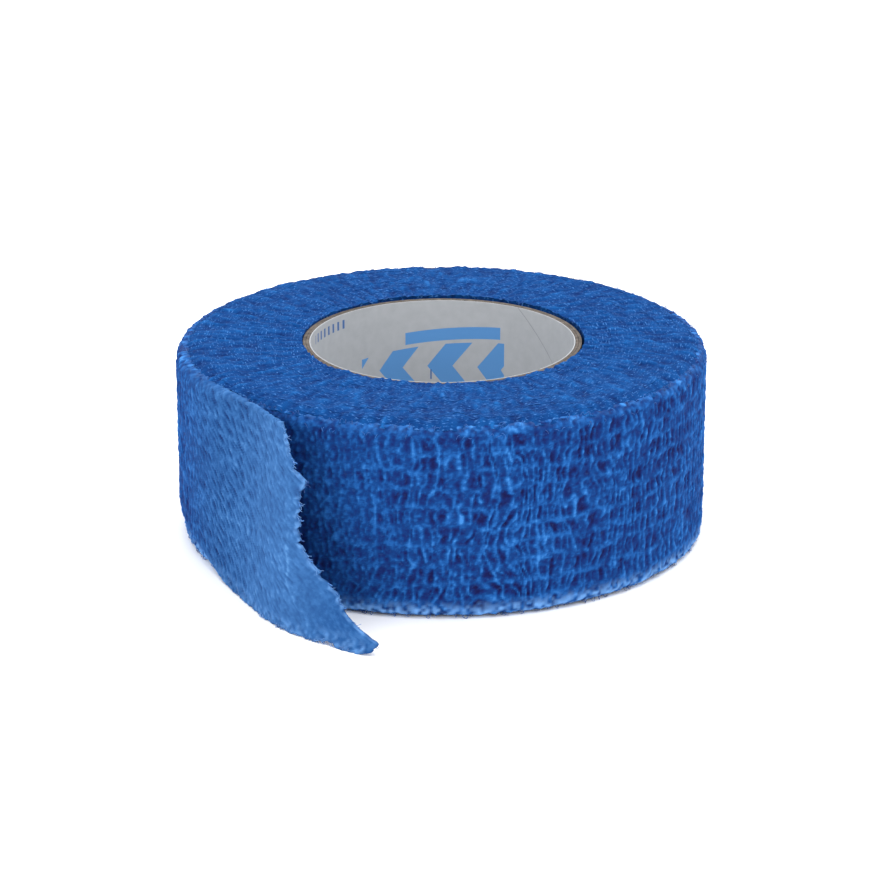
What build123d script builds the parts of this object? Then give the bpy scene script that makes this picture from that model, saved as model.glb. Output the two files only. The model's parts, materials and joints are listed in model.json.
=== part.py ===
"""Roll of self-adherent elastic hand wrap on a paper core, with its free end peeled off.

Millimetres, +Z along the axis of the roll. The origin is the centre of the core's lower
end, in the plane that the roll stands on. Seen from above, the strip runs anticlockwise
from the core to its free end. The strip is a laminate: a crepe web on the face, stretched
elastic yarns, and a crepe web on the back. It is wound round the core in one spiral. Its
last stretch is peelable, so that stretch is made in short lengths with a bend line between
each two, and every length has its own two webs and its own yarns.
"""
from build123d import *
from math import cos, degrees, hypot, pi, radians, sin
import os

os.makedirs("parts", exist_ok=True)

# Driving dimensions
strip_width = 25.4          # nominal one inch strip, which is the height of the roll
roll_radius = 34.2          # outside of the roll where the peelable stretch begins
least_turn_gap = 0.12       # least room between one turn and the next
web_thickness = 0.14        # one crepe web, stretched flat
yarn_thickness = 0.06       # an elastic yarn, pressed flat between the webs
yarn_width = 0.7
yarn_spacing = 2.4
yarn_edge_room = 1.5        # least distance from the strip's edge to a yarn
glue_line = 0.055           # room left between layers that are stuck together

bore_radius = 17.1          # inside of the core
liner_wall = 0.12           # printed paper inside the core
board_wall = 0.36           # each of the two board plies of the core
core_recess = 0.4           # the core stops this far short of the strip's upper edge
core_seam_width = 0.25      # open butt seam of a ply
core_seam_slope = 43.0      # a ply's seam climbs at this angle, as in a spirally wound tube
seam_cut_reach = 0.6        # a seam is cut this share of the ply's inner radius in from its outside
core_clearance = 0.08       # between the core and the strip's first turn

lap_clearance = 0.2         # between the peelable stretch and the turn that it lies on
lap_start_angle = 118.0     # where the peelable stretch begins, seen from above
peel_angle = 205.0          # where the strip leaves the roll
lap_lengths = 3             # lengths that still lie on the roll
bend_gap = 0.56             # gap at a bend line, which lets the next length swing
base_length = 11.9          # first free length, straight
mid_straight = 5.8          # second free length: a straight run and a bend
mid_bend = (5.2, 12.0)      # length and turn in degrees
tip_bend = (5.4, 12.0)      # third free length, to its torn end
tip_easing = (7.5, 10.0)
tip_straight = 3.0
nick_distance = 6.2         # a nick in the lower edge of the last length, past its bend line
nick_width = 0.9
nick_height = 1.3

# The torn end: distance past the last bend line, and height as a share of the width
torn_end = [(1.0, 1.00), (2.6, 0.86), (4.5, 0.80), (3.8, 0.64), (3.7, 0.49),
            (7.0, 0.33), (11.7, 0.16), (15.2, 0.07), (14.8, 0.016), (13.3, 0.0)]

# Sizes worked out from them
laminate = 2 * web_thickness + yarn_thickness + 2 * glue_line
board_in_radius = bore_radius + liner_wall + glue_line
board_mid_radius = board_in_radius + board_wall + glue_line
core_radius = board_mid_radius + board_wall
first_turn_radius = core_radius + core_clearance + laminate / 2
last_turn_radius = roll_radius - laminate / 2
winding_depth = last_turn_radius - first_turn_radius
strip_turns = int(winding_depth / (laminate + least_turn_gap))
turn_pitch = winding_depth / strip_turns
core_length = strip_width - core_recess
yarn_count = 1 + int((strip_width - 2 * yarn_edge_room - yarn_width) / yarn_spacing)
lowest_yarn = (strip_width - (yarn_count - 1) * yarn_spacing - yarn_width) / 2

# Each layer's two sides, measured outwards from the middle of the laminate
face_web = (yarn_thickness / 2 + glue_line, laminate / 2)
back_web = (-laminate / 2, -yarn_thickness / 2 - glue_line)
yarn_layer = (-yarn_thickness / 2, yarn_thickness / 2)


def finish(part, name):
    """Name a finished piece, write its file and say what was made."""
    part.label = name
    export_step(part, f"parts/{name}.step")
    print(f"{name}: {len(part.solids())} solids, {part.volume:.1f} mm3")


# ---- The strip's middle line, as a chain of runs of (length, turn to the left) ----

def advance(pose, length, turn):
    """The place and heading at the end of a run that starts at pose."""
    x, y, heading = pose
    start, end = radians(heading), radians(heading + turn)
    if turn == 0:
        return (x + length * cos(start), y + length * sin(start), heading)
    radius = length / radians(turn)
    return (x + radius * (sin(end) - sin(start)), y - radius * (cos(end) - cos(start)), heading + turn)


def draw_side(pose, runs, outward):
    """Draw one side of a layer, outward mm to the right of the middle line, and give its ends."""
    ends = []
    for length, turn in runs:
        x, y, heading = pose
        ahead = Vector(cos(radians(heading)), sin(radians(heading)))
        start = Vector(x, y) + Vector(ahead.Y, -ahead.X) * outward
        if turn == 0:
            edge = Line(start, start + ahead * length)
        else:
            edge = JernArc(start, ahead, length / radians(turn) + outward, turn)
        ends += [start, edge @ 1]
        pose = advance(pose, length, turn)
    return ends[0], ends[-1]


def layer_outline(pose, runs, sides, bottoms):
    """The outline of one layer of the strip seen from above, once at each lower edge."""
    with BuildSketch(*[Plane.XY.offset(bottom) for bottom in bottoms]) as outline:
        with BuildLine():
            near_start, near_end = draw_side(pose, runs, sides[0])
            far_start, far_end = draw_side(pose, runs, sides[1])
            Line(near_start, far_start)
            Line(near_end, far_end)
        make_face()
    return outline.sketch


yarn_bottoms = [lowest_yarn + row * yarn_spacing for row in range(yarn_count)]

# ---- Core: printed liner and two board plies, each with a slanted butt seam ----

def seam_outline(radius, angle):
    """A ply's seam seen from outside: it climbs round the tube and is centred at an angle."""
    ahead = Vector(-sin(radians(angle)), cos(radians(angle)))
    middle = Vector(cos(radians(angle)), sin(radians(angle))) * radius
    along = ahead * cos(radians(core_seam_slope)) - Vector(0, 0, sin(radians(core_seam_slope)))
    seam_plane = Plane(origin=(middle.X, middle.Y, core_length / 2), x_dir=along, z_dir=middle)
    with BuildSketch(seam_plane) as outline:
        Rectangle(2 * core_length / sin(radians(core_seam_slope)), core_seam_width)
    return outline.sketch


for name, inner, wall, seam_angle in [
        ("core_liner", bore_radius, liner_wall, 6.0),
        ("core_inner_ply", board_in_radius, board_wall, 130.0),
        ("core_outer_ply", board_mid_radius, board_wall, 250.0)]:
    with BuildPart() as core_ply:
        with BuildSketch():
            Circle(inner + wall)
            Circle(inner, mode=Mode.SUBTRACT)
        extrude(amount=core_length)
        extrude(seam_outline(inner + wall, seam_angle), amount=seam_cut_reach * inner, both=True,
                mode=Mode.SUBTRACT)
    finish(core_ply.part, name)

# ---- Wound strip: one spiral of half circles, each half a pitch larger than the last ----

lap_heading = lap_start_angle + 90
winding_axis = Vector(cos(radians(lap_start_angle)), sin(radians(lap_start_angle)))
first_half_circle = first_turn_radius + turn_pitch / 4
wound_pose = (first_turn_radius * winding_axis.X, first_turn_radius * winding_axis.Y, lap_heading)
wound_runs = [
    (pi * (first_half_circle + half_turn * turn_pitch / 2), 180.0)
    for half_turn in range(2 * strip_turns)]

for name, sides, bottoms, height in [
        ("wound_face_web", face_web, [0], strip_width),
        ("wound_back_web", back_web, [0], strip_width),
        ("wound_elastic_yarns", yarn_layer, yarn_bottoms, yarn_width)]:
    with BuildPart() as wound_layer:
        extrude(layer_outline(wound_pose, wound_runs, sides, bottoms), amount=height)
    finish(wound_layer.part, name)

# ---- Peelable stretch: lengths of strip with a bend line before each ----

turn_beneath = roll_radius - turn_pitch
lap_radius = turn_beneath + lap_clearance + laminate / 2 + turn_pitch / 4
lap_arc = radians(peel_angle - lap_start_angle) * lap_radius
lap_length = (lap_arc - lap_lengths * bend_gap) / lap_lengths


def lap_run(length):
    """A run that keeps the roll's curve."""
    return (length, degrees(length / lap_radius))


lengths = [(f"lap_{number}", [lap_run(lap_length)], lap_run(bend_gap))
           for number in range(1, lap_lengths + 1)]
lengths += [
    ("tail_base", [(base_length, 0)], (bend_gap, 0)),
    ("tail_middle", [(mid_straight, 0), mid_bend], (bend_gap, 0)),
    ("tail_end", [tip_bend, tip_easing, (tip_straight, 0)], (bend_gap, 0))]

lap_centre = winding_axis * (-turn_pitch / 4)
lap_start = lap_centre + winding_axis * lap_radius
pose = (lap_start.X, lap_start.Y, lap_heading)
bend_lines = {}


def torn_outline(pose):
    """The last length seen from its outer side, with its torn end and the nick in its edge."""
    x, y, heading = pose
    chord = radians(heading + (tip_bend[1] + tip_easing[1]) / 2)
    ahead = Vector(cos(chord), sin(chord))
    side_view = Plane(origin=(x, y, 0), x_dir=ahead, z_dir=Vector(ahead.Y, -ahead.X))
    outline = [(distance, share * strip_width) for distance, share in torn_end]
    with BuildSketch(side_view) as torn:
        with BuildLine():
            Polyline((-1, strip_width), *outline, (-1, 0), close=True)
        make_face()
        with Locations((nick_distance, 0)):
            Rectangle(nick_width, 2 * nick_height, mode=Mode.SUBTRACT)
    return torn.sketch


for name, runs, bend in lengths:
    half_bend = (bend[0] / 2, bend[1] / 2)
    hinge = advance(pose, *half_bend)
    bend_lines[name] = hinge
    pose = advance(hinge, *half_bend)
    for layer, sides, bottoms, height in [
            ("face_web", face_web, [0], strip_width),
            ("back_web", back_web, [0], strip_width),
            ("yarns", yarn_layer, yarn_bottoms, yarn_width)]:
        with BuildPart() as strip_length:
            extrude(layer_outline(pose, runs, sides, bottoms), amount=height)
            if name == "tail_end":
                extrude(torn_outline(pose), amount=strip_width, both=True, mode=Mode.INTERSECT)
        finish(strip_length.part, f"{name}_{layer}")
    for run in runs:
        pose = advance(pose, *run)

# ---- What the sizes come to ----

wound_length = sum(length for length, turn in wound_runs)
free_length = sum(run[0] for name, runs, bend in lengths for run in runs + [bend])
turn_gap = turn_pitch - laminate
print(f"{strip_turns} turns, laminate {laminate:.3f}, pitch {turn_pitch:.3f}, turn gap {turn_gap:.3f}")
print(f"strip length {wound_length:.0f} wound and {free_length:.1f} peelable")
for name, (x, y, heading) in bend_lines.items():
    print(f"bend line of {name}: x {x:.3f}, y {y:.3f}, radius {hypot(x, y):.3f}, heading {heading:.1f}")
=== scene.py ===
# %% [markdown]
# # A roll of elastic crepe hand wrap
# This lesson builds a small roll of self-adherent wrap: a soft crepe strip, one inch wide,
# wound on a paper core, with its torn free end peeled off the roll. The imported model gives
# the frame: where the core is, how wide the strip is and where it bends. Everything here is
# measured from that frame, in millimetres, and turned into metres at the last moment.

# %% Load the frame
import json
from functools import partial
from math import atan2, cos, degrees, pi, radians, sin

import bmesh
import bpy
import numpy as np
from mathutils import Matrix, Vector


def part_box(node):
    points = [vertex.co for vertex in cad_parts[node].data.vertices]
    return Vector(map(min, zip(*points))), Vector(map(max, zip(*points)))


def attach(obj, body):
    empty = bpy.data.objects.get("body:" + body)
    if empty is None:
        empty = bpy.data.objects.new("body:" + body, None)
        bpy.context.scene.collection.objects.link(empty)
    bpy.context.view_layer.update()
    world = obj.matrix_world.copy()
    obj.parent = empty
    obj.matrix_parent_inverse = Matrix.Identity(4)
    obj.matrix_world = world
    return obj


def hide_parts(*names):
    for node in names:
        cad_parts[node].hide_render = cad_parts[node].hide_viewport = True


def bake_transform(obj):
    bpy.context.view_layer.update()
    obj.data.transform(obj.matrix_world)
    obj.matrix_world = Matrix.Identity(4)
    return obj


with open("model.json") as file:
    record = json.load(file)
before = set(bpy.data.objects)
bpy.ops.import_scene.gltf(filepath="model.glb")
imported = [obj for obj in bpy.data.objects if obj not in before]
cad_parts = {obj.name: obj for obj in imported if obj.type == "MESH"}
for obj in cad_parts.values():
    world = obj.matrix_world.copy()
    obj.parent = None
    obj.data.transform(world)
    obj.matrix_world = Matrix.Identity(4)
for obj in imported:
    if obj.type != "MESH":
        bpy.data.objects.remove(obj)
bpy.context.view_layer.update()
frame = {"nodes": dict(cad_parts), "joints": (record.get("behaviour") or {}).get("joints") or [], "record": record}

MM = 0.001


def box_mm(node):
    """The lowest and highest corners of a CAD node in millimetres."""
    low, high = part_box(node)
    return Vector(low) / MM, Vector(high) / MM


mounts = {mount["name"]: mount for mount in frame["record"]["mounts"]}
bore_radius = mounts["core_bore"]["dims"]["r_mm"]
core_radius = box_mm("core_outer_ply")[1].x
strip_width = box_mm("wound_face_web")[1].z
bends = [Vector(joint["pos_m"][:2]) / MM for joint in frame["joints"]]
print(f"strip {strip_width:.1f} mm wide, core radius {core_radius:.2f} mm,",
      f"{len(bends)} bend lines")

# %% [markdown]
# ## One line for the whole strip
# The real strip is one long ribbon, so one line is worked out for all of it. Distance along
# the strip is counted from the first bend line: below zero it lies in the spiral of the roll,
# and above zero it is the stretch that can be peeled off. The peelable line could be drawn
# as a curve object, but a list of runs, each with a length and a turn, is easier to read,
# and adding up small steps along them gives the place and the heading anywhere.

# %% The strip's middle line
TURNS = 27
CLOTH = 0.42                      # thickness of the laminate as it looks, crepe included
CORE_ROOM = 0.3                   # from the core to the middle of the first turn
STEP = 0.02                       # between the points of the peelable line
EASE = 75                         # steps each side over which a change of bend is eased

start_radius = bends[0].length
start_angle = atan2(bends[0].y, bends[0].x)
pitch = (start_radius - core_radius - CORE_ROOM) / TURNS
growth = pitch / (2 * pi)         # how far out the spiral goes for each radian


def circle_through(a, b, c):
    """Centre and radius of the circle through three points."""
    ab, ac = b - a, c - a
    cross = 2 * (ab.x * ac.y - ab.y * ac.x)
    centre = a + Vector((ac.y * ab.length_squared - ab.y * ac.length_squared,
                         ab.x * ac.length_squared - ac.x * ab.length_squared)) / cross
    return centre, (a - centre).length


lap_centre, lap_radius = circle_through(bends[0], bends[1], bends[3])
lap_turn = (bends[0] - lap_centre).angle(bends[3] - lap_centre)
peel_place = lap_turn * lap_radius
first_heading = atan2(bends[0].y - lap_centre.y, bends[0].x - lap_centre.x) + pi / 2

# Runs of (length, turn in degrees): round the roll, straight off it, then curling back in
runs = [(peel_place, degrees(lap_turn)), (18.5, 0.0), (5.2, 12.0), (0.6, 0.0),
        (5.4, 12.0), (7.5, 10.0), (8.0, 0.0)]
bend_per_mm = np.concatenate([
    np.full(int(length / STEP), radians(turn) / length) for length, turn in runs])
ease = np.ones(2 * EASE) / (2 * EASE)
eased = np.convolve(np.pad(bend_per_mm, EASE, mode="edge"), ease, mode="same")[EASE:-EASE]
line_heading = first_heading + np.concatenate([[0.0], np.cumsum(eased) * STEP])
line_x = bends[0].x + np.concatenate([[0.0], np.cumsum(np.cos(line_heading[:-1])) * STEP])
line_y = bends[0].y + np.concatenate([[0.0], np.cumsum(np.sin(line_heading[:-1])) * STEP])
line_place = np.arange(len(line_x)) * STEP


def middle_line(place):
    """The point and heading of the strip's middle line at places along the strip."""
    inside = np.minimum(place, 0.0)
    turned = (np.sqrt(start_radius ** 2 + 2 * growth * inside) - start_radius) / growth
    angle = start_angle + turned
    radius = start_radius + growth * turned
    x = np.where(place < 0, radius * np.cos(angle), np.interp(place, line_place, line_x))
    y = np.where(place < 0, radius * np.sin(angle), np.interp(place, line_place, line_y))
    heading = np.where(place < 0, angle + pi / 2, np.interp(place, line_place, line_heading))
    return x, y, heading


def place_of(point):
    """The place along the peelable line that is nearest to a point."""
    return float(line_place[np.argmin(np.hypot(line_x - point.x, line_y - point.y))])


def place_of_turn(turns):
    """The place on the spiral that lies a number of turns in from the first bend line."""
    return -(start_radius ** 2 - (start_radius - turns * pitch) ** 2) * pi / pitch


bend_places = [place_of(point) for point in bends]
spiral_start, last_turn = place_of_turn(TURNS), place_of_turn(1)
print(f"pitch {pitch:.3f} mm, wound length {-spiral_start:.0f} mm, bends at",
      [round(place, 1) for place in bend_places])

# %% [markdown]
# ## Noise that is the same every time
# Crepe is random, but the model has to come out the same on every run. Each whole-numbered
# place gets a fixed number from a small hash, and smooth noise, pleats and slits are built on
# that. Pleats are the ridges of gathered crepe, and slits are what is left when it is pulled.

# %% Noise, pleats and slits
PLEAT_SHIFT = 0.34                # how unevenly the ridge lines are spaced
PLEAT_SWAY = 0.22                 # how far each line wanders
PLEAT_HALF = 0.36                 # half the width of a ridge
SLIT_SHIFT = (0.7, 0.6)           # how unevenly the slits are spread, along and up
SLIT_HALF = (0.38, 0.56)          # half the width and the height of a slit


def scatter(column, row, seed):
    """A fixed number from 0 to 1 for two whole numbers. The large numbers only mix the bits."""
    mixed = (column.astype(np.int64) * 374761393 + row.astype(np.int64) * 668265263
             + seed * 9747113)
    mixed &= 0xFFFFFFFF
    mixed = ((mixed ^ (mixed >> 13)) * 1274126177) & 0xFFFFFFFF
    return ((mixed ^ (mixed >> 16)) & 0xFFFFFF) / 0xFFFFFF


def smooth(low, high, value):
    """An S curve from 0 at low to 1 at high."""
    share = np.clip((value - low) / (high - low), 0.0, 1.0)
    return share * share * (3 - 2 * share)


def noise(x, y, seed):
    """Smooth noise from -1 to 1 with one lump to a unit."""
    column, row = np.floor(x), np.floor(y)
    across, up = smooth(0, 1, x - column), smooth(0, 1, y - row)

    def level(row):
        return (scatter(column, row, seed) * (1 - across)
                + scatter(column + 1, row, seed) * across)

    return 2 * (level(row) * (1 - up) + level(row + 1) * up) - 1


def layers(x, y, *each):
    """Layers of noise added up, each given as (amount, size in x, size in y, seed)."""
    return sum(amount * noise(x / wide, y / high, seed) for amount, wide, high, seed in each)


def pleats(x, y, seed):
    """Ridge lines up the strip, one to a unit: crest height, distance away, pit number."""
    column = np.floor(x)
    crest, pit = np.zeros(x.shape), np.zeros(x.shape)
    away, last = np.full(x.shape, np.inf), np.full(x.shape, -np.inf)
    for step in (-1, 0, 1, 2):
        home = column + step
        line = (home + PLEAT_SHIFT * (scatter(home, home * 0, seed) - 0.5)
                + PLEAT_SWAY * noise(home * 7.3, y * 1.9, seed + 1))
        strength = np.clip(0.72 + 0.6 * noise(home * 5.1 + 0.5, y * 1.7, seed + 2), 0.25, 1)
        gap = np.abs(x - line)
        crest = np.maximum(crest, strength * (1 - smooth(0.0, PLEAT_HALF, gap)))
        away = np.minimum(away, gap + 0.3 * (1 - strength))
        left = (line <= x) & (line > last)
        last = np.where(left, line, last)
        pit = np.where(left, scatter(home, np.floor(y), seed + 3), pit)
    return crest, away, pit


def slits(x, y, seed):
    """Short soft slits in staggered rows, from 0 between them to 1 in the deepest."""
    deep = np.zeros(x.shape)
    column, row = np.floor(x), np.floor(y)
    for down in (-1, 0, 1):
        for along in (-1, 0, 1):
            home_x, home_y = column + along, row + down
            middle_x = (home_x + 0.5 + SLIT_SHIFT[0] * (scatter(home_x, home_y, seed) - 0.5)
                        + 0.5 * (home_y % 2))
            middle_y = home_y + 0.5 + SLIT_SHIFT[1] * (scatter(home_x, home_y, seed + 1) - 0.5)
            size = 0.25 + 0.75 * scatter(home_x, home_y, seed + 2)
            away = np.hypot((x - middle_x) / SLIT_HALF[0], (y - middle_y) / SLIT_HALF[1])
            deep = np.maximum(deep, size * (1 - smooth(0.0, 1.1, away)))
    return deep


# %% [markdown]
# ## The crepe relief
# The webs are bonded to stretched elastic yarns. When the yarns relax, they gather the webs
# into narrow ridges across the strip, one row of them between each two yarns. On the roll the
# rows are 2.4 mm high and the ridges about 1 mm apart. The free end has been pulled, so it is
# nearly flat, with short slanted slits. One function gives the height anywhere on the strip.

# %% Relief of the crepe
ROW = 2.4                         # from yarn to yarn
RIDGE = 0.98                      # from ridge to ridge on the roll
SLIT_STEP = 0.95                  # from slit to slit on the pulled free end
SLIT_ROW = 1.5                    # from one row of slits to the next
SLANT = 1.1                       # how far the slits lean for each mm up the strip
ROLL_HEIGHT = 0.42                # from the pits to the ridges on the roll
TAIL_HEIGHT = 0.2                 # and on the free end
BASE_LEVEL, RIDGE_RISE, PIT_DEPTH = 0.46, 0.25, 0.36    # shares of that height on the roll
PLAIN_LEVEL, CREASE_RISE = 0.7, 0.36                    # and on the free end
ROWLESS_EDGE = 2.4                # the rows fade out this far from each edge of the strip
PULL_REACH = 9.0                  # the crepe flattens over this far each side of the peel line
PUCKER_ANGLE = radians(-74.0)     # a place on the front where the crepe was twisted
PUCKER_HEIGHT = 9.5
PUCKER_SIZE = 6.0
PUCKER_SQUASH = 0.62              # the twist is taller than it is wide
PRESSED_FROM, PRESSED_TO = radians(-150.0), radians(-98.0)    # the free end lay here until lately
PRESSED_SHARE = 0.45              # so the crepe is this much flatter
PRESSED_AND_LIT_LEVEL = 0.52              # and pressed to this level, which also lightens its colour: painted light in the free end's shadow
TONGUE_START = 24.0               # from the peel line to where the free end becomes a tongue


def place_at_angle(angle):
    """The place along the roll's outer turn that faces an angle."""
    turned = (angle - start_angle) % (2 * pi) - 2 * pi
    return start_radius * turned + growth * turned ** 2 / 2


pucker_place = place_at_angle(PUCKER_ANGLE)
pressed_start, pressed_end = place_at_angle(PRESSED_FROM), place_at_angle(PRESSED_TO)
print(f"twist at {pucker_place:.1f} mm, pressed from {pressed_start:.1f} to {pressed_end:.1f} mm")


def pulled(place):
    """0 where the crepe is gathered as wound, and 1 on the free end, which was pulled."""
    return smooth(peel_place - PULL_REACH, peel_place + PULL_REACH, place)


def from_edge(across):
    """How far a place across the strip is from the nearer edge."""
    return np.minimum(across, strip_width - across)


# %% Crepe as it was wound
def gathered(place, across):
    """Crepe as it is on the roll: upright ridges with pits between them, in rows."""
    sway = layers(place, across, (0.3, 2.6, 2.2, 11), (0.2, 0.85, 0.9, 12))
    rise = layers(place, across, (0.5, 4.5, 4.5, 13), (0.3, 0.9, 1.8, 16))
    drift = layers(place, across, (1.1, 6.0, 7.0, 18))
    past, up = place - pucker_place, across - PUCKER_HEIGHT
    away = np.hypot(past, up * PUCKER_SQUASH)
    twist = np.exp(-(away / PUCKER_SIZE) ** 3) * smooth(9.0, -5.0, past)
    inside = np.exp(-((past - 3.0) / 4.5) ** 2 - (up / 5.5) ** 2)
    along = place - twist * (away - np.abs(past)) + drift + sway
    rows = (across + rise) / ROW
    yarn = np.rint(rows)
    from_yarn = np.abs(rows - yarn)
    crest, gap, pit = pleats(along / RIDGE, rows, 21)
    crest = np.minimum(crest * (1 + 0.7 * twist), 1.0)
    held = np.clip(0.4 + 0.6 * inside + 0.7 * noise(place / 1.1, yarn * 3.3, 24), 0, 1)
    bar = (1 - smooth(0.0, 0.24, from_yarn)) * held
    patch = 0.5 + layers(place, across, (0.5, 6.0, 5.0, 25))
    hollow = smooth(0.12, 0.46, gap) * smooth(0.04, 0.32, from_yarn)
    hollow = hollow * (0.2 + 0.8 * smooth(0.3, 0.75, 0.7 * pit + 0.3 * patch))
    streaks = 1 - 2 * np.abs(noise(along / 0.5, across / 1.8, 15))
    mottle = noise(place / 0.7, across / 0.9, 26)
    return (BASE_LEVEL + RIDGE_RISE * np.maximum(crest, 0.75 * bar) - PIT_DEPTH * hollow
            + 0.06 * streaks + 0.13 * mottle)


# %% Crepe on the free end
# A fold line, as points past the peel line and up the strip
CREASE = [(24.6, 14.0), (24.8, 10.3), (25.2, 7.8), (25.2, 6.0), (26.5, 4.8), (26.7, 3.4),
          (28.4, 3.0), (29.9, 0.6)]
CREASE_HALF = 0.42


def crease(place, across):
    """1 on the fold line that runs down the free end to its torn tongue, and 0 beside it."""
    past = place - peel_place
    away = np.full(place.shape, np.inf)
    for (x0, y0), (x1, y1) in zip(CREASE, CREASE[1:]):
        run, rise = x1 - x0, y1 - y0
        share = ((past - x0) * run + (across - y0) * rise) / (run ** 2 + rise ** 2)
        share = np.clip(share, 0, 1)
        away = np.minimum(away, np.hypot(past - x0 - share * run, across - y0 - share * rise))
    faint = 0.6 + 0.4 * noise(past / 0.7, across / 0.7, 36)
    return (1 - smooth(0.0, CREASE_HALF, away)) * smooth(14.0, 9.0, across) * faint


def stretched(place, across):
    """Crepe as it is on the free end: nearly flat, with short slanted slits."""
    past = place - peel_place
    calm = smooth(TONGUE_START, TONGUE_START + 5.0, past)
    early = 1 - smooth(8.0, TONGUE_START, past)
    sway = layers(place, across, (0.5, 2.9, 2.3, 11), (0.2, 1.1, 1.3, 12))
    slanted = place + SLANT * across + sway
    slit = slits(slanted / SLIT_STEP, across / SLIT_ROW, 33)
    streak = noise(slanted / 0.7, across / 3.0, 17)
    mottle = noise(place / 0.9, across / 0.9, 19)
    depth = (0.5 + 0.5 * early) * (1 - 0.6 * calm)
    plain = PLAIN_LEVEL - depth * slit + 0.05 * streak + 0.06 * mottle - 0.1 * calm
    return plain + CREASE_RISE * crease(place, across)


# %% The whole strip
def crepe(place, across):
    """Ridge height from 0, a pit, to 1, a ridge, on the flat strip."""
    share = pulled(place)
    fuzz = layers(place, across, (0.19, 0.42, 0.45, 31), (0.12, 0.22, 0.24, 32))
    grain = 0.5 + layers(place, across, (0.4, 0.62, 0.5, 34), (0.25, 1.3, 0.7, 35))
    inner = smooth(0.0, ROWLESS_EDGE, from_edge(across))
    upright = gathered(place, across) * inner + grain * (1 - inner)
    # the pressed patch is flatter, and its raised level also lightens its colour: painted light where the free end
    # shades the roll
    pressed = smooth(pressed_start - 4.0, pressed_start + 4.0, place)
    pressed = PRESSED_SHARE * pressed * smooth(pressed_end + 5.0, pressed_end - 7.0, place)
    upright = upright * (1 - pressed) + PRESSED_AND_LIT_LEVEL * pressed
    level = upright * (1 - share) + stretched(place, across) * share
    return np.clip(level + fuzz * (1 - 0.3 * share), 0, 1)


sample = crepe(np.linspace(-60.0, -20.0, 400), np.linspace(3.0, 22.0, 400))
print(f"crepe on the roll averages {sample.mean():.2f} of its full height")


# %% [markdown]
# ## How the strip sits
# Flat places are turned into places in the room. The edges of the roll are worn round, so the
# outer turns curl in over the roll. The free end leans in towards the roll at its upper edge,
# because that edge let go later, and its torn tongue leans back further still.

# %% From the flat strip to the roll
CURL_DEPTH = 2.2                  # how much of the strip curls over at each edge of the roll
CURL_RADIUS = 1.6
FOOT_DEPTH = 1.1                  # the lower edge curls less, because the roll stands on it
HEEL_DEPTH = 4.4                  # but it curls further in before the peel line
UPPER_FADE = (2.0, 15.0)          # the upper curl fades out between these places past the peel line
FOOT_FADE = (-7.0, 12.0)          # and the lower one between these
HEEL_GROWS = (-45.0, -20.0)       # and the heel grows to its full depth between these
LEAN = 2.5                        # the free end's upper edge leans in this far
TONGUE_TILT = radians(24.0)
TONGUE_TOP = 12.0                 # the tongue's tilt stops growing at this height


def edge_curl(place, across):
    """Height, and how far inwards the strip curls, near its two edges."""
    past = place - peel_place
    lower = across < strip_width / 2
    heel = FOOT_DEPTH + (HEEL_DEPTH - FOOT_DEPTH) * smooth(*HEEL_GROWS, past)
    depth = np.where(lower, heel * (1 - smooth(*FOOT_FADE, past)),
                     CURL_DEPTH * (1 - smooth(*UPPER_FADE, past)))
    radius = np.maximum(depth, 0.01) * CURL_RADIUS / CURL_DEPTH
    curled = np.clip(depth - from_edge(across), 0.0, depth + 0.3)
    turned = curled / radius
    loss = curled - radius * np.sin(turned)
    inward = radius * (1 - np.cos(turned))
    return np.where(lower, across + loss, across - loss), inward


def tail_lean(place, across, x, y):
    """How far the free end leans in towards the roll."""
    off_roll = np.maximum(np.hypot(x, y) - start_radius - 0.15, 0.0) * (place > peel_place - 2)
    lean = LEAN * np.tanh(1.1 * off_roll / LEAN) * across / strip_width
    tongue = smooth(TONGUE_START, TONGUE_START + 10.0, place - peel_place)
    return lean + tongue * np.tan(TONGUE_TILT) * np.minimum(across, TONGUE_TOP)


def beside_line(line, out, height):
    """Points in metres that stand out mm from a middle line, and never below the floor."""
    x, y, heading = line
    return np.stack([x + np.sin(heading) * out, y - np.cos(heading) * out,
                     np.maximum(height, 0.0)], axis=1) * MM


def set_place(place, across, outward):
    """Points in metres for flat places that stand outward mm from the strip's middle."""
    line = middle_line(place)
    height, inward = edge_curl(place, across)
    return beside_line(line, outward - inward - tail_lean(place, across, *line[:2]), height)


# %% [markdown]
# ## Cut flat, then wound
# A tailor cuts the strip flat, and the winder bends it. The same order works here: bmesh makes
# a flat grid and gives it a second side, and only then is each vertex moved to its place on
# the roll. The flat place stays on each vertex as an attribute, so that a weave or a stain can
# follow the cloth round every bend, which plain object coordinates could not do.

# %% Cut a flat blank and set it on the roll
def flat_blank(name, columns, rows):
    """A closed flat blank from 0 to 1 both ways, with its face at Z 0 and its back below."""
    shape = bmesh.new()
    bmesh.ops.create_grid(shape, x_segments=columns, y_segments=rows, size=0.5)
    bmesh.ops.translate(shape, vec=(0.5, 0.5, 0), verts=shape.verts)
    bmesh.ops.solidify(shape, geom=shape.faces[:], thickness=1.0)
    mesh = bpy.data.meshes.new(name)
    shape.to_mesh(mesh)
    shape.free()
    return mesh


def add_values(mesh, name, kind, values):
    """Store a value on each vertex for the material to read."""
    attribute = mesh.attributes.new(name, kind, "POINT")
    attribute.data.foreach_set("vector" if kind == "FLOAT_VECTOR" else "value",
                               values.astype(np.float32).ravel())


def add_object(name, data):
    """Put an object with this data in the scene, at the origin."""
    item = bpy.data.objects.new(name, data)
    bpy.context.scene.collection.objects.link(item)
    return item


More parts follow.
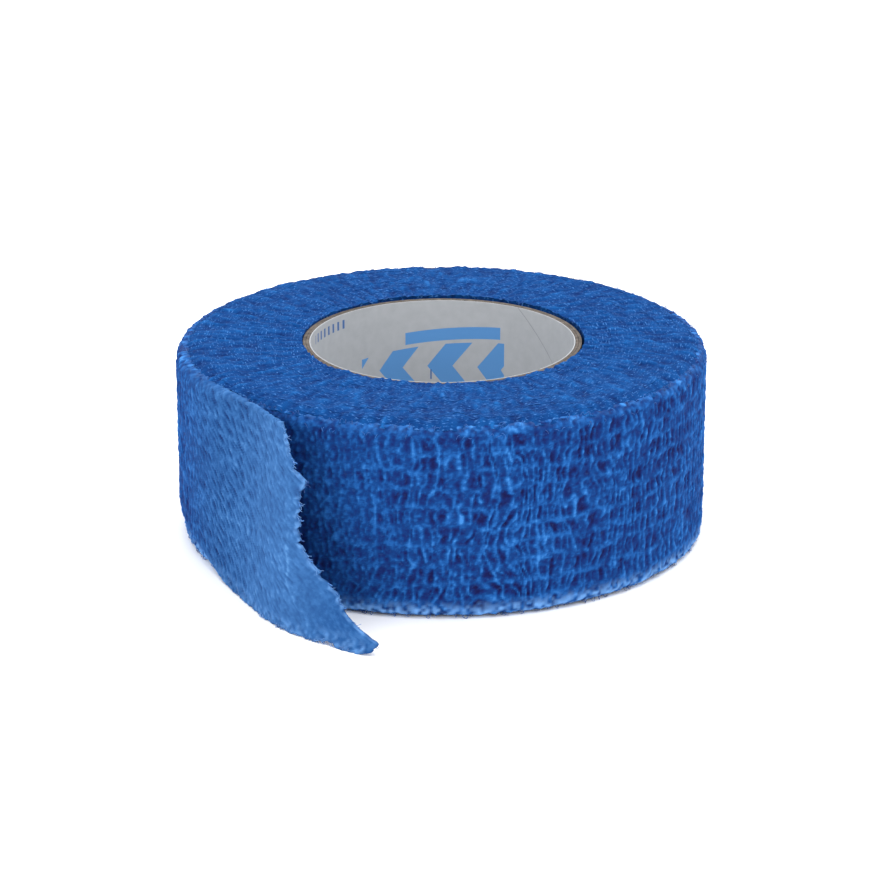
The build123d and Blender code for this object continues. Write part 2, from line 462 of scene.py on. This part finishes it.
def set_strip(name, columns, rows, lay_out):
    """Make a piece of strip: lay_out turns shares along and across, and the side, into points."""
    mesh = flat_blank(name, columns, rows)
    flat = np.empty(len(mesh.vertices) * 3, np.float32)
    mesh.vertices.foreach_get("co", flat)
    flat = flat.reshape(-1, 3).astype(float)
    side = np.where(np.abs(flat[:, 2]) < 0.5, 1.0, -1.0)
    points, place, across, ridge, wear = lay_out(flat[:, 0], flat[:, 1], side)
    mesh.vertices.foreach_set("co", points.astype(np.float32).ravel())
    add_values(mesh, "cloth", "FLOAT_VECTOR", np.stack([place, across, side], axis=1) * MM)
    add_values(mesh, "ridge", "FLOAT", ridge)
    add_values(mesh, "wear", "FLOAT", wear)
    add_values(mesh, "pull", "FLOAT", pulled(place))
    mesh.shade_smooth()
    mesh.update()
    print(f"{name}: {len(mesh.vertices)} vertices,",
          f"{sum(len(face.vertices) - 2 for face in mesh.polygons)} triangles")
    return add_object(name, mesh)


# %% [markdown]
# ## The inner turns
# Only the upper and lower edges of the inner turns show, as a grainy ring between the core and
# the rim. Each turn is real, because the grain of that ring is nothing but the crinkled edges
# of twenty-six layers, all a little high or low. Their flat middles are hidden, so the blank
# has few rows there.

# %% Inner turns
GRAIN = 0.26                      # distance between points along the edge
EDGE_ROWS = np.array([0.0, 0.012, 0.05, 0.95, 0.988, 1.0])    # shares of the strip's width
EDGE_HALF, INNER_HALF = 0.34, 0.27     # half a turn's thickness, at its edges and within
GRAIN_RADIUS = 26.0               # angles are turned into lengths at this radius
OTHER_EDGE = 90.0                 # keeps the grain of the two edges apart
RIM_DROP = 1.6                    # how far the outermost turns' edges sit below the middle ones
RIM_START = 2.6                   # how far in from the outside that drop begins
INNER_PIECES = 3                  # in which the turns are made, to keep each mesh a handy size


def rim_drop(from_axis):
    """How far a turn's edge sits below the flat of the roll, near the worn rim."""
    inside = np.clip((from_axis - start_radius) / RIM_START + 1, 0, 1)
    return RIM_DROP * inside ** 2


def inner_layout(start, end):
    """A layout for a stretch of the inner turns."""
    def lay_out(along, across_share, side):
        row = np.rint(across_share * (len(EDGE_ROWS) - 1)).astype(int)
        outer_edge = (row == 0) | (row == len(EDGE_ROWS) - 1)
        across = EDGE_ROWS[row] * strip_width
        upper = across > strip_width / 2
        place = start + along * (end - start)
        line = middle_line(place)
        x, y = line[:2]
        turn = np.floor(np.hypot(x, y) / pitch)
        half = np.where(outer_edge, EDGE_HALF, INNER_HALF)
        around = np.arctan2(y, x) * GRAIN_RADIUS
        from_axis = np.hypot(x, y) + side * half
        inwards = from_axis + upper * OTHER_EDGE
        lump = layers(around, inwards, (0.6, 0.8, 1.5, 42), (0.4, 0.42, 0.8, 43))
        high = 0.04 * noise(place / 5.0, upper * 9.0 + turn * 3.7, 41) + 0.28 * lump
        tuck = from_edge(across) + rim_drop(from_axis) + np.maximum(0.1 - high, -0.25)
        height = np.where(upper, strip_width - tuck, tuck)
        crinkle = (0.09 * noise(place / 0.62, row * 3.7 + turn, 44)
                   + 0.05 * noise(place / 0.3, row * 1.9, 45))
        points = beside_line(line, side * half + crinkle, height)
        fleck = noise(around / 0.5, inwards / 1.1, 46)
        # raised grains are lighter and the rows tucked below the edge tips darker: painted light and painted
        # shade, with random flecks
        ridge = np.clip(0.5 + 1.1 * high + 0.2 * fleck, 0, 1) * np.where(outer_edge, 1.0, 0.8)
        return points, place, across, ridge, np.zeros(len(place))
    return lay_out


def split(start, end, count):
    """Equal stretches from start to end, each as its first and last place."""
    marks = [start + (end - start) * number / count for number in range(count + 1)]
    return zip(marks, marks[1:])


inner_turns = []
for number, (begin, finish_at) in enumerate(split(spiral_start, last_turn, INNER_PIECES), 1):
    columns = int((finish_at - begin) / GRAIN)
    piece = set_strip(f"inner_turns_{number}", columns, len(EDGE_ROWS) - 1,
                      inner_layout(begin, finish_at))
    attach(piece, "roll")
    piece.data.shade_flat()                     # facets of the crinkled edges are the grain
    inner_turns.append(piece)

# %% [markdown]
# ## The outer turn
# The roll's side is one turn of crepe, and its relief is the look of the whole object. The
# ridges are true geometry, fine enough that each is several faces wide, so they shade and
# cast small shadows. The turn is made in three pieces to keep each mesh a handy size.

# %% Outer turn
FACE_STEP = 0.21                  # between the points of the roll's side and the free end
OUTER_PIECES = 3
ROLL_MARGIN = 6.0                 # the outer turn ends this far before the first bend line
FACE_LEVEL = 0.45                 # the ridge height that lies on the strip's plain face
BEADS = 0.34                      # how far the beaded upper edge stands out
FUZZ = 0.18                       # how uneven both edges are
FOOT_WEAR_AND_FLOOR_LIGHT = (0.3, 2.6)            # the lower edge is frayed, and pale partly with painted light from the floor, up to between these heights
UPPER_WEAR = 0.12                 # the upper edge is worn less
TEAR_WEAR = 0.5
PALE_FROM, PALE_TO = (8.0, 22.0), (34.0, 25.0)    # past the peel line, the free end is paler


def face_layout(start, end_at, low_edge=None):
    """A layout for a detailed stretch of strip. end_at gives the end for each place across."""
    def lay_out(along, across_share, side):
        across = across_share * strip_width
        place = start + along * (end_at(across) - start)
        if low_edge is not None:
            across = across + low_edge(place) * (1 - smooth(0.1, 1.5, across))
        upper = across_share > 0.5
        ragged = (0.14 * noise(place / 0.8, upper + 3.0, 51)
                  + 0.1 * noise(place / 0.35, across_share, 52)) * np.where(upper, 1.8, 1.0)
        across = across + ragged * (1 - smooth(0.0, 1.2, from_edge(across)))
        ridge, share = crepe(place, across), pulled(place)
        relief = (ROLL_HEIGHT * (1 - share) + TAIL_HEIGHT * share) * (ridge - FACE_LEVEL)
        full = CLOTH / 2 * smooth(-0.12, 0.2, from_edge(across))
        out = np.where(side > 0, full + relief, -full + 0.5 * relief)
        near_edge = 1 - smooth(0.0, 1.8, from_edge(across))
        beads = BEADS * np.abs(noise(place / 0.95, across / 0.9, 55)) * upper * (side > 0)
        fuzz = (FUZZ * noise(place / 0.4, across / 0.4, 53) + beads) * near_edge
        points = set_place(place, across, out + fuzz)
        past = place - peel_place
        frayed = 0.6 + 0.9 * noise(place / 0.45, across / 0.4, 54)
        # the lower band is pale from frayed wear and from painted light, as the floor would light its underside
        foot = (1 - smooth(*FOOT_WEAR_AND_FLOOR_LIGHT, across)) * (1.0 - 0.6 * share)
        wear_and_foot_light = frayed * np.where(across < strip_width / 2, foot, UPPER_WEAR * near_edge)
        wear_and_foot_light = np.maximum(wear_and_foot_light, 0.1 * smooth(*PALE_FROM, past) * smooth(*PALE_TO, past))
        if low_edge is not None:
            torn = 1 - smooth(0.0, 0.7, end_at(across) - place)
            wear_and_foot_light = np.maximum(wear_and_foot_light, TEAR_WEAR * frayed * torn)
        return points, place, across, ridge, np.clip(wear_and_foot_light, 0, 1)
    return lay_out


def make_length(name, start, end):
    """A detailed piece of strip between two places along it."""
    return set_strip(name, int((end - start) / FACE_STEP), int(strip_width / FACE_STEP),
                     face_layout(start, lambda across: end + across * 0))


roll_end = bend_places[0] - ROLL_MARGIN
outer_turn = []
for number, (begin, finish_at) in enumerate(split(last_turn, roll_end, OUTER_PIECES), 1):
    piece = make_length(f"outer_turn_{number}", begin, finish_at)
    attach(piece, "roll")
    outer_turn.append(piece)
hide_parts("wound_face_web")
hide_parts("wound_elastic_yarns")
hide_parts("wound_back_web")

# %% [markdown]
# ## The peelable stretch
# Each piece here crosses one bend line and ends half way to the next, where its neighbour
# begins on the same points, so the strip lies whole. Each piece stands in for the model's
# layers past its bend line, which are hidden.

# %% Lengths that cross the bend lines
bodies = ["roll", "lap_1", "lap_2", "lap_3", "tail_base", "tail_middle", "tail_end"]
seams = [roll_end]
seams += [(low + high) / 2 for low, high in zip(bend_places, bend_places[1:])]


def bend_piece(piece, number, stands_for=True):
    """Bake a piece's placement into its mesh and, if it stands in for them, hide the model's layers past its bend
    line.
    """
    body, next_body = bodies[number:number + 2]
    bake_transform(piece)
    if stands_for:
        layer_names = ("face_web", "back_web", "yarns")
        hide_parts(*[f"{next_body}_{layer}" for layer in layer_names])


peel_pieces = []
for number, (begin, finish_at) in enumerate(zip(seams, seams[1:])):
    piece = make_length(f"peel_length_{number + 1}", begin, finish_at)
    bend_piece(piece, number)
    peel_pieces.append(piece)

# %% [markdown]
# ## The torn end
# The strip was torn, not cut. Its upper part stops short, and the tear runs down and forward
# into a drawn-out tongue that lies along the table. The grid's columns are stretched to end on
# that outline, so the tear is a clean edge of the mesh and not a mask in the material.

# %% Torn end
TORN_COLUMNS = 110
TORN_STEP = 0.18                  # between points across the torn end
NICK_DEPTH = 0.42                 # a step in the lower edge near the tip
# The torn outline, as heights on the strip and places past the peel line
TEAR = np.array([(0.0, 38.0), (0.6, 39.0), (1.6, 39.2), (2.6, 36.2), (3.6, 33.8), (5.6, 31.8),
                 (7.0, 29.8), (8.8, 28.0), (10.8, 26.5), (12.6, 26.0), (17.4, 26.0),
                 (19.0, 26.3), (20.0, 25.0), (21.2, 24.3), (23.0, 23.0), (25.4, 21.6)])
tear_heights, tear_places = TEAR.T


def torn_edge(across):
    """Where the torn edge is, along the strip, for a place across it."""
    ragged = (0.14 * noise(across / 0.9, across * 0, 61)
              + 0.3 * noise(across / 0.36, across * 0, 62))
    return peel_place + np.interp(across, tear_heights, tear_places) + ragged


def nicked_edge(place):
    """Height of the lower edge, with the nicks that tearing left in it."""
    past = place - peel_place
    step = NICK_DEPTH * smooth(30.6, 31.6, past) * smooth(34.0, 33.2, past)
    return step + 0.08 + 0.08 * noise(past / 0.5, past * 0, 63)


torn_end = set_strip("torn_end", TORN_COLUMNS, int(strip_width / TORN_STEP),
                     face_layout(seams[5], torn_edge, nicked_edge))
bend_piece(torn_end, 5)
levels = np.linspace(0, strip_width, 200)
torn_area = strip_width * float(np.mean(torn_edge(levels) - seams[5]))

# %% [markdown]
# ## Loose fibres
# Crepe sheds: tiny loops of fibre stand off its edges, and the tear leaves ends of fibre and of
# elastic yarn hanging out. Each is a short bent line with a little thickness. A curve object
# gives every line its tube at once, and is then turned into one light mesh.

# %% Fibre helpers
FIBRE_RADIUS = 0.03
YARN_RADIUS = 0.07


def make_fibres(name, lines, radius):
    """One mesh of thin tubes that follow lists of points, in millimetres."""
    path = bpy.data.curves.new(name, "CURVE")
    path.dimensions = "3D"
    path.bevel_depth = radius * MM
    path.bevel_resolution = 0
    path.use_fill_caps = True
    for line in lines:
        spline = path.splines.new("POLY")
        spline.points.add(len(line) - 1)
        for point, (x, y, z) in zip(spline.points, line):
            point.co = (x * MM, y * MM, max(z, radius) * MM, 1.0)
    drawn = add_object(name + "_path", path)
    mesh = bpy.data.meshes.new_from_object(drawn)
    bpy.data.objects.remove(drawn)
    mesh.name = name
    print(f"{name}: {len(lines)} fibres, {len(mesh.polygons)} faces")
    return add_object(name, mesh)


def strip_frame(place, across):
    """A point on the strip's face, with the directions along it, out of it and up."""
    place, across = np.array([place]), np.array([across])
    foot = Vector(set_place(place, across, np.array([CLOTH / 2]))[0]) / MM
    heading = middle_line(place)[2][0]
    along = Vector((cos(heading), sin(heading), 0.0))
    return foot, along, Vector((along.y, -along.x, 0.0)), Vector((0.0, 0.0, 1.0))


def loop_line(place, across, lift, chance):
    """A loop of fibre that leaves the cloth and comes back to it."""
    foot, along, out, up = strip_frame(place, across)
    away = (out * (1.0 - abs(lift)) + up * lift).normalized()
    spin = chance.uniform(0, pi)
    along = along * cos(spin) + (away.cross(along)) * sin(spin)
    width, height = chance.uniform(0.15, 0.4), chance.uniform(0.2, 0.5)
    sway = chance.uniform(-0.25, 0.25)
    turns = [pi * step / 5 for step in range(6)]
    return [foot - away * 0.1 - along * cos(turn) * width + away * sin(turn) * height
            + up * sin(turn) * sway for turn in turns]


# %% Fibres on the roll and on the free end
# Rows of loops on the roll: the place across the strip, how far upwards they lean, how many
LOOP_ROWS = ((strip_width - 0.6, 0.8, 240), (strip_width - 1.8, 0.5, 120), (0.25, -0.4, 300))
TEAR_FIBRES, CORNER_FIBRES, FOOT_LOOPS = 90, 9, 50
YARN_COUNT = 10
YARN_STEP = 2.4
YARN_FIRST = 1.9

chance = np.random.default_rng(7)
loops = []
for across, lift, count in LOOP_ROWS:
    for place in chance.uniform(last_turn, roll_end, count):
        loops.append(loop_line(place, across, lift, chance))
roll_fibres = make_fibres("loose_fibres_on_roll", loops, FIBRE_RADIUS)
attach(roll_fibres, "roll")


def torn_line(place, across, length, droop, chance):
    """A fibre or yarn end that hangs out of the tear."""
    foot, along, out, up = strip_frame(place, across)
    bend_out, bend_up = chance.uniform(-0.3, 0.5), chance.uniform(-0.5, 0.5) - droop
    foot = foot - out * CLOTH / 2
    bend = out * bend_out + up * bend_up
    return [foot + along * (length * share - 0.3) + bend * length * share ** 2
            for share in (0.0, 0.25, 0.5, 0.75, 1.0)]


torn_fibre_lines = []
for across in chance.uniform(0.4, strip_width - 0.3, TEAR_FIBRES):
    place = float(torn_edge(np.array([across]))[0])
    torn_fibre_lines.append(torn_line(place, across, chance.uniform(0.4, 1.0), 0.1, chance))
for past in chance.uniform(30.2, 31.6, CORNER_FIBRES):   # the frayed corner at the lower edge
    place = peel_place + past
    torn_fibre_lines.append(torn_line(place, 0.35, chance.uniform(0.8, 1.6), 0.1, chance))
for place in chance.uniform(seams[5] + 1, peel_place + 36, FOOT_LOOPS):
    torn_fibre_lines.append(loop_line(place, 0.3, -0.5, chance))
torn_fibres = make_fibres("loose_fibres_on_tear", torn_fibre_lines, FIBRE_RADIUS)
bend_piece(torn_fibres, 5, stands_for=False)

yarn_lines = []
for number in range(YARN_COUNT):
    across = YARN_FIRST + number * YARN_STEP
    place = float(torn_edge(np.array([across]))[0])
    yarn_lines.append(torn_line(place, across, chance.uniform(0.5, 0.9), 0.2, chance))
yarn_ends = make_fibres("torn_yarn_ends", yarn_lines, YARN_RADIUS)
bend_piece(yarn_ends, 5, stands_for=False)

# %% [markdown]
# ## Materials
# A small helper adds a node with its settings and its links. Colours are written as the eye
# names them, in sRGB hex, and one function turns them into the linear values that light needs.

# %% Material helpers
def colour(code):
    """A linear colour from an sRGB hex code."""
    channels = [int(code[at:at + 2], 16) / 255 for at in (1, 3, 5)]
    return (*[c / 12.92 if c <= 0.04045 else ((c + 0.055) / 1.055) ** 2.4 for c in channels], 1.0)


def new_material(name):
    """An empty node material with its shader and output joined."""
    material = bpy.data.materials.new(name)
    material.use_nodes = True
    nodes = material.node_tree.nodes
    return material, nodes["Principled BSDF"]


def add_node(material, kind, settings=None, **links):
    """Add a node. settings are its properties, and links feed its inputs, by name or number."""
    tree = material.node_tree
    node = tree.nodes.new("ShaderNode" + kind)
    for name, value in (settings or {}).items():
        setattr(node, name, value)
    for name, value in links.items():
        numbered = name[1:].isdigit()
        socket = node.inputs[int(name[1:]) if numbered else name.replace("_", " ")]
        if isinstance(value, bpy.types.NodeSocket):
            tree.links.new(value, socket)
        else:
            socket.default_value = value
    return node


def set_ramp(node, *stops):
    """Give a colour ramp its stops, each a position and a colour."""
    elements = node.color_ramp.elements
    while len(elements) < len(stops):
        elements.new(0.5)
    for element, (position, code) in zip(elements, stops):
        element.position = position
        element.color = colour(code)


def maths(material, operation, *values):
    """The result of a Math node on values or sockets."""
    named = {f"_{number}": value for number, value in enumerate(values)}
    return add_node(material, "Math", {"operation": operation}, **named).outputs[0]


def mix(material, share, first, second):
    """A blend from one colour to another."""
    node = add_node(material, "Mix", {"data_type": "RGBA"}, _0=share, _6=first, _7=second)
    return node.outputs[2]


def spots(material, place, size, **more):
    """Noise from 0 to 1 with spots of about this size in metres."""
    return add_node(material, "TexNoise", Vector=place, Scale=1 / size, **more).outputs["Fac"]


def ramped(material, value, *stops):
    """The colour that a ramp gives for a value."""
    ramp = add_node(material, "ValToRGB", Fac=value)
    set_ramp(ramp, *stops)
    return ramp.outputs["Color"]


def finish_shader(material, shader, base, bumps=None, **values):
    """Join a colour, and a bump as (height, strength, distance), and set the shader's values."""
    links = material.node_tree.links
    links.new(base, shader.inputs["Base Color"])
    if bumps:
        height, strength, distance = bumps
        bump = add_node(material, "Bump", Height=height, Strength=strength, Distance=distance)
        links.new(bump.outputs["Normal"], shader.inputs["Normal"])
    for name, value in values.items():
        shader.inputs[name.replace("_", " ")].default_value = value


# %% [markdown]
# ## Crepe web
# The web is a thin nonwoven of polyester fibres, dyed royal blue. Fibres that cross at all
# angles make it matt. A pattern laid over the shape would slip off the ridges, so the colour
# follows the ridge height stored on each vertex: darker in the pits, which is painted shade,
# and lighter on the ridges, which is painted light. Noise drawn out one way gives the fibres,
# and pale specks are painted glints. Where the web was pulled or worn, it is paler, and its
# lower edge is also lightened with painted light from the floor.

# %% Crepe web
FIBRE_SIZE = (0.0008, 0.0004, 0.001)     # of the fibre pattern, in metres
FIBRE_SLANT = 0.5
# pale specks of this size are painted glints
BLOTCH_SIZE, GLINT_SPECK_SIZE = 0.006, 0.0005
WEAR_AND_LIGHT_SHARE = 0.85                        # how far wear, and painted floor light on the lower edge, take the colour to that of the edge


def crepe_material(name, stops, edge_code, painted_glint):
    """Nonwoven royal blue crepe, soft and matt, with fine fibres: painted shade in pits, painted light on ridges.
    """
    material, shader = new_material(name)
    here = partial(maths, material)
    cloth, ridge, wear, pull = (add_node(material, "Attribute", {"attribute_name": stored})
                                for stored in ("cloth", "ridge", "wear", "pull"))
    ridge, wear, pull = ridge.outputs["Fac"], wear.outputs["Fac"], pull.outputs["Fac"]
    cloth = cloth.outputs["Vector"]
    fibre_place = add_node(material, "Mapping", _0=cloth, Scale=[1 / size for size in FIBRE_SIZE],
                           Rotation=(0, 0, FIBRE_SLANT)).outputs[0]
    fibres = spots(material, fibre_place, 1.0, Detail=3.0, Roughness=0.65, Distortion=0.6)
    blotches = spots(material, cloth, BLOTCH_SIZE, Detail=2.0)
    glint_specks = spots(material, cloth, GLINT_SPECK_SIZE, Detail=1.0)
    strength = here("MULTIPLY_ADD", pull, -0.2, 0.5)        # the fibres show less where pulled
    fine = here("MULTIPLY", here("SUBTRACT", fibres, 0.5), strength)
    broad = here("MULTIPLY_ADD", blotches, 0.3, -0.15)
    # the ridge height sets the colour: painted shade in the pits, painted light on the ridges
    lit = here("ADD", here("ADD", ridge, fine), broad)
    plain = mix(material, pull, ramped(material, lit, *stops), ramped(material, lit, *PULLED_STOPS))
    edged = mix(material, here("MULTIPLY", wear, WEAR_AND_LIGHT_SHARE), plain, colour(edge_code))
    # pale specks are painted glints of light, strongest on the roll's flat faces
    glint_share = add_node(material, "MapRange", Value=glint_specks, From_Min=0.6, From_Max=0.72,
                           To_Max=painted_glint).outputs[0]
    finish_shader(material, shader, mix(material, glint_share, edged, colour("#5F9AE2")),
                  bumps=(fibres, 0.55, 0.00012), Roughness=0.9, Specular_IOR_Level=0.05,
                  Sheen_Weight=0.08, Sheen_Roughness=0.5, Sheen_Tint=colour("#5090E8"))
    return material


# Colours from the pits, painted shade, to the ridges, painted light: on the free end, on the
# roll's side and on its two flat faces
PULLED_STOPS = [(0.0, "#122858"), (0.3, "#1B4278"), (0.55, "#234E84"), (0.75, "#305E96"),
                (1.0, "#4C7CB2")]
SIDE_STOPS = [(0.0, "#151644"), (0.25, "#132760"), (0.5, "#113A76"), (0.75, "#1E569A"),
              (1.0, "#3A7AC0")]
FACE_STOPS = [(0.1, "#0A2052"), (0.4, "#08326A"), (0.7, "#0D427E"), (1.0, "#1E62A6")]
crepe_side = crepe_material("royal_blue_crepe", SIDE_STOPS, "#72A6E2", 0.05)
crepe_edges = crepe_material("crinkled_crepe_edges", FACE_STOPS, "#78ABE6", 0.4)

# %% Crepe on the strip
for piece in inner_turns:
    piece.data.materials.append(crepe_edges)
for piece in outer_turn + peel_pieces + [torn_end]:
    piece.data.materials.append(crepe_side)
print(f"{crepe_side.name} and {crepe_edges.name} are on the strip")

# %% [markdown]
# ## Loose fibre and yarn
# Single fibres look paler than the web, because light comes through them. They are too thin for
# a pattern to show, so a slow change of tint along them is enough.


# %% Loose fibre and yarn
def fibre_material(name, code):
    """Polyester fibre: thin, pale where the light catches it, with a soft gloss."""
    material, shader = new_material(name)
    where = add_node(material, "TexCoord").outputs["Object"]
    tint = spots(material, where, 0.004, Detail=1.0)
    finish_shader(material, shader, ramped(material, tint, (0.35, "#16407E"), (0.65, code)),
                  Roughness=0.6)
    return material


loose_fibre = fibre_material("blue_polyester_fibre", "#2A64B0")
roll_fibres.data.materials.append(loose_fibre)
torn_fibres.data.materials.append(fibre_material("pale_torn_fibre", "#6C9CD8"))
yarn_ends.data.materials.append(fibre_material("blue_elastic_yarn", "#3E78C0"))

# %% [markdown]
# ## Core board and printed liner
# The core is wound from grey-brown board and lined with pale paper that carries a print. An
# image could give the print, but sums on the angle and the height keep its edges sharp at any
# size: a bar, a row of chevrons, some ticks, and the line where the paper overlaps itself.


# %% Core board
def dress(node, material):
    """Give a CAD node its finish."""
    slots = frame["nodes"][node].data.materials
    slots.clear()
    slots.append(material)


def board_material():
    """Grey-brown core board: recycled pulp with short fibres and a matt surface."""
    material, shader = new_material("core_board")
    where = add_node(material, "TexCoord").outputs["Object"]
    pulp = spots(material, where, 0.0006, Detail=4.0)
    board = ramped(material, pulp, (0.3, "#403A36"), (0.5, "#544C46"), (0.7, "#686058"))
    finish_shader(material, shader, board, bumps=(pulp, 0.4, 0.0001), Roughness=0.95)
    return material


board = board_material()
dress("core_inner_ply", board)
dress("core_outer_ply", board)


# %% Printed liner
# The print, in millimetres round the bore and up it. Its line climbs a little to the right.
LINE_SLOPE, LINE_HEIGHT = -0.085, 22.5
BAR_REACH, BAR_BAND = (18.8, 31.9), (-0.85, 0.85)
CHEVRON_REACH, CHEVRON_BAND = (18.2, 38.5), (-8.5, -1.35)
CHEVRON_STEP, CHEVRON_TIP, CHEVRON_SLANT = 3.4, 15.8, 0.8
TICK_REACH, TICK_BAND, TICK_STEP, TICK_HALF = (41.2, 49.5), (23.0, 24.2), 0.55, 0.2
REGISTER_REACH, REGISTER_BAND = (28.3, 28.5), (13.9, 15.3)
LAP_SLOPE, LAP_FOOT, LAP_HALF = 1.087, -11.1, 0.09


def liner_material():
    """Machine-glazed paper, off-white and greyed with painted shade of the bore, with a pale blue print of
    direction marks.
    """
    material, shader = new_material("printed_liner_paper")
    here = partial(maths, material)

    def between(value, low, high):
        return here("MULTIPLY", here("GREATER_THAN", value, low), here("LESS_THAN", value, high))

    where = add_node(material, "TexCoord").outputs["Object"]
    x, y, z = add_node(material, "SeparateXYZ", Vector=where).outputs
    around = here("MULTIPLY", here("ARCTAN2", y, x), bore_radius)
    height = here("MULTIPLY", z, 1 / MM)
    from_line = here("SUBTRACT", height, here("MULTIPLY_ADD", around, LINE_SLOPE, LINE_HEIGHT))
    bar = here("MULTIPLY", between(from_line, *BAR_BAND), between(around, *BAR_REACH))

    from_tip = here("ABSOLUTE", here("SUBTRACT", height, CHEVRON_TIP))
    folded = here("ADD", around, here("MULTIPLY", from_tip, CHEVRON_SLANT))
    stripes = here("LESS_THAN", here("PINGPONG", folded, CHEVRON_STEP), CHEVRON_STEP / 2)
    chevrons = here("MULTIPLY", here("MULTIPLY", stripes, between(from_line, *CHEVRON_BAND)),
                    between(around, *CHEVRON_REACH))

    ticks = here("LESS_THAN", here("PINGPONG", around, TICK_STEP), TICK_HALF)
    ticks = here("MULTIPLY", here("MULTIPLY", ticks, between(height, *TICK_BAND)),
                 between(around, *TICK_REACH))
    register = here("MULTIPLY", between(around, *REGISTER_REACH), between(height, *REGISTER_BAND))
    from_lap = here("SUBTRACT", around, here("MULTIPLY_ADD", height, LAP_SLOPE, LAP_FOOT))
    lap = here("LESS_THAN", here("ABSOLUTE", from_lap), LAP_HALF)

    grain = spots(material, where, 0.0012, Detail=3.0)
    # the paper's grey is partly painted shade, for the dim inside of the bore
    paper = ramped(material, grain, (0.3, "#9FA2A6"), (0.7, "#A6A9AD"))
    pale_ink = mix(material, here("MAXIMUM", bar, chevrons), paper, colour("#4C86C0"))
    dark_ink = mix(material, here("MAXIMUM", ticks, register), pale_ink, colour("#3B5F96"))
    final = mix(material, here("MULTIPLY", lap, 0.6), dark_ink, colour("#6E7276"))
    finish_shader(material, shader, final, Roughness=0.6)
    return material


dress("core_liner", liner_material())
print("the core is board with a printed liner")

# %% [markdown]
# ## Table, light and camera
# The roll stands on a plain pale surface. One large soft light above and a fill from each
# side give the even light of a catalogue picture.

# %% Floor
floor_shape = bmesh.new()
bmesh.ops.create_grid(floor_shape, x_segments=1, y_segments=1, size=1.5)
floor_mesh = bpy.data.meshes.new("floor")
floor_shape.to_mesh(floor_mesh)
floor_shape.free()
floor = add_object("floor", floor_mesh)
white, floor_shader = new_material("pale_floor")
floor_shader.inputs["Base Color"].default_value = colour("#FCFCFC")
floor_shader.inputs["Roughness"].default_value = 0.9
floor_mesh.materials.append(white)


# %% Lights
def add_light(name, place, target, size, power):
    """A soft square light that faces a point."""
    lamp = bpy.data.lights.new(name, "AREA")
    lamp.size = size
    lamp.energy = power
    item = add_object(name, lamp)
    item.location = place
    item.rotation_euler = (Vector(target) - Vector(place)).to_track_quat("-Z", "Y").to_euler()


add_light("overhead", (0.05, 0.1, 0.6), (0, 0, 0), 0.5, 2.6)
add_light("front_left", (-0.5, -0.5, 0.35), (0, 0, 0.01), 0.3, 0.9)
add_light("front_right", (0.5, -0.45, 0.3), (0, 0, 0.01), 0.3, 0.6)
world = bpy.data.worlds.new("studio")
world.use_nodes = True
world.node_tree.nodes["Background"].inputs["Color"].default_value = colour("#FFFFFF")
world.node_tree.nodes["Background"].inputs["Strength"].default_value = 1.35
bpy.context.scene.world = world
bpy.context.scene.view_settings.view_transform = "Standard"    # plain, full-strength colours

# %% Camera
VIEW_DISTANCE = 0.450
VIEW_ELEVATION = radians(19.48)
target = Vector((0, 0, strip_width / 2 * MM))
eye = target + Vector((0, -cos(VIEW_ELEVATION), sin(VIEW_ELEVATION))) * VIEW_DISTANCE
camera_data = bpy.data.cameras.new("camera")
camera_data.lens = 139.3
camera_data.shift_x = 0.0024
camera_data.shift_y = -0.0175
camera = add_object("camera", camera_data)
camera.location = eye
camera.rotation_euler = (target - eye).to_track_quat("-Z", "Y").to_euler()
bpy.context.scene.camera = camera
print(f"camera {VIEW_DISTANCE * 1000:.0f} mm away, lens {camera_data.lens} mm")
